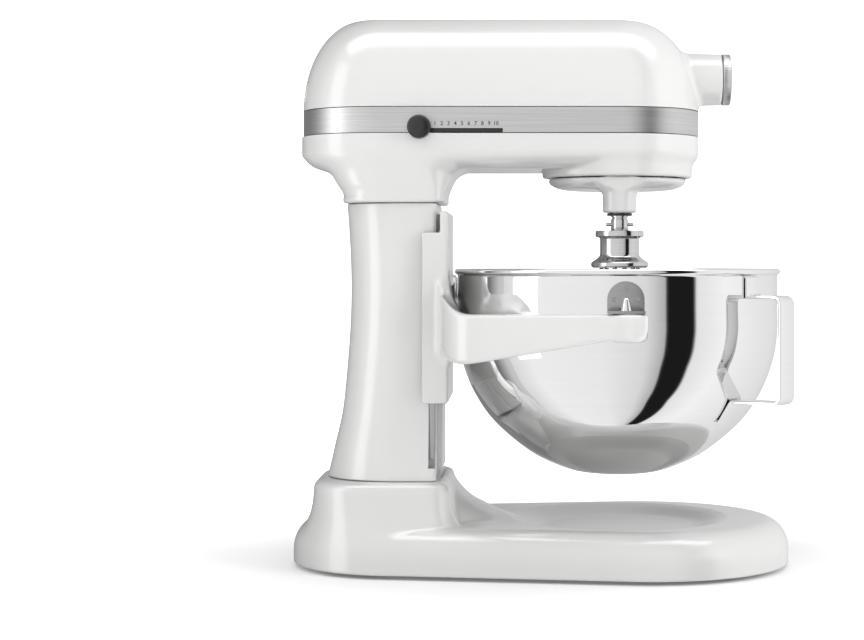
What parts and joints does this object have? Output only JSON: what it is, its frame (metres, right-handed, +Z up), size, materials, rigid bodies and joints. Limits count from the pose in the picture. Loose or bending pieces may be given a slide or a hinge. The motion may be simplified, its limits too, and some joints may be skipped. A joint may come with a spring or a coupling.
{
  "type": "stand mixer",
  "caption": "Bowl-lift stand mixer with a steel bowl on a lifting fork, planetary whisk drive, speed slider, lift lever and front attachment hub.",
  "frame": {"origin": "on the table, under the middle of the mixer's bounding box, which is also the middle of its base", "axes": "+X to the front, where the attachment hub is, +Y to the side with the lift lever, +Z up; the bowl's axis is vertical"},
  "size_m": [0.3794, 0.282, 0.417],
  "materials": {
    "white_enamel": "gloss",
    "rubber": "matte",
    "brushed_trim": "satin",
    "black_plastic": "satin",
    "circuit_board": "matte",
    "nylon": "satin",
    "copper": "satin",
    "core_iron": "matte",
    "bronze": "satin",
    "machined_steel": "satin",
    "whisk_steel": "polished",
    "bowl_steel": "polished"
  },
  "bodies": {
    "stand": {"base": "white_enamel", "foot_front_left": "rubber", "foot_front_right": "rubber", "foot_rear_left": "rubber", "foot_rear_right": "rubber", "foot_middle": "rubber", "column": "white_enamel", "lower_housing": "white_enamel", "trim_band": "brushed_trim", "top_cover": "white_enamel", "hub_housing": "white_enamel", "cord_gland": "rubber", "control_board": "circuit_board", "stator_core": "core_iron", "field_coil_upper": "copper", "field_coil_lower": "copper", "rear_bearing_bracket": "machined_steel", "front_bearing_bracket": "machined_steel", "brush_holder_left": "bronze", "brush_holder_right": "bronze", "centre_bush": "bronze", "ring_gear": "machined_steel", "lift_bush": "nylon"},
    "speed_control": {"speed_knob": "black_plastic", "speed_lever": "black_plastic"},
    "armature": {"armature_shaft": "machined_steel", "armature_core": "core_iron", "commutator": "copper", "cooling_fan": "nylon"},
    "intermediate_drive": {"intermediate_shaft": "machined_steel", "worm_wheel": "bronze"},
    "planetary": {"centre_shaft": "machined_steel", "centre_gear": "machined_steel", "centre_mitre_gear": "machined_steel", "planetary_carrier": "white_enamel"},
    "beater": {"beater_shaft": "whisk_steel", "beater_pinion": "machined_steel", "shaft_collar": "black_plastic", "drive_pin": "whisk_steel", "whisk_hub": "whisk_steel", "whisk_wires": "whisk_steel"},
    "hub_drive": {"hub_spindle": "machined_steel"},
    "hub_cap": {"hub_cap": "brushed_trim"},
    "hub_knob": {"hub_knob": "black_plastic"},
    "lift_handle": {"lift_shaft": "machined_steel", "lift_crank": "core_iron", "lift_lever": "machined_steel", "lift_knob": "black_plastic"},
    "bowl_support": {"bowl_support": "white_enamel", "locating_pin_left": "bowl_steel", "locating_pin_right": "bowl_steel", "lift_link": "machined_steel"},
    "bowl": {"bowl": "bowl_steel", "bowl_handle": "bowl_steel", "bowl_bracket_left": "bowl_steel", "bowl_bracket_right": "bowl_steel", "bowl_rear_clip": "bowl_steel"}
  },
  "joints": [
    {"name": "speed_slide", "type": "slide", "parent": "stand", "child": "speed_control", "axis": [1, 0, 0], "range_m": [0, 0.056]},
    {"name": "planetary_spin", "type": "hinge", "parent": "stand", "child": "planetary", "pos_m": [0.0586, 0, 0.291], "axis": [0, 0, 1], "continuous": true},
    {"name": "beater_spin", "type": "hinge", "parent": "planetary", "child": "beater", "pos_m": [0.0586, -0.039, 0.28], "axis": [0, 0, 1], "continuous": true},
    {"name": "intermediate_spin", "type": "hinge", "parent": "stand", "child": "intermediate_drive", "pos_m": [0.03, 0.03, 0.33], "axis": [0, 0, 1], "continuous": true},
    {"name": "armature_spin", "type": "hinge", "parent": "stand", "child": "armature", "pos_m": [0, 0, 0.345], "axis": [1, 0, 0], "continuous": true},
    {"name": "hub_spin", "type": "hinge", "parent": "stand", "child": "hub_drive", "pos_m": [0.11, 0, 0.3724], "axis": [1, 0, 0], "continuous": true},
    {"name": "hub_cap_pull", "type": "slide", "parent": "stand", "child": "hub_cap", "axis": [1, 0, 0], "range_m": [0, 0.03]},
    {"name": "hub_knob_turn", "type": "hinge", "parent": "stand", "child": "hub_knob", "pos_m": [0.13, 0.024, 0.3724], "axis": [0, 1, 0], "continuous": true},
    {"name": "lift_lever_turn", "type": "hinge", "parent": "stand", "child": "lift_handle", "pos_m": [-0.112, 0.06, 0.165], "axis": [0, -1, 0], "range_deg": [0, 95]},
    {"name": "bowl_lift", "type": "slide", "parent": "stand", "child": "bowl_support", "axis": [0, 0, 1], "range_m": [-0.034, 0]},
    {"name": "bowl_off_pins", "type": "slide", "parent": "bowl_support", "child": "bowl", "axis": [0, 0, 1], "range_m": [0, 0.012]}
  ],
  "couplings": [
    {"joint": "beater_spin", "follows": "planetary_spin", "ratio": -5},
    {"joint": "intermediate_spin", "follows": "planetary_spin", "ratio": -3},
    {"joint": "armature_spin", "follows": "planetary_spin", "ratio": 24},
    {"joint": "hub_spin", "follows": "planetary_spin", "ratio": 1},
    {"joint": "lift_lever_turn", "follows": "bowl_lift", "rad_per_m": -48.7}
  ]
}
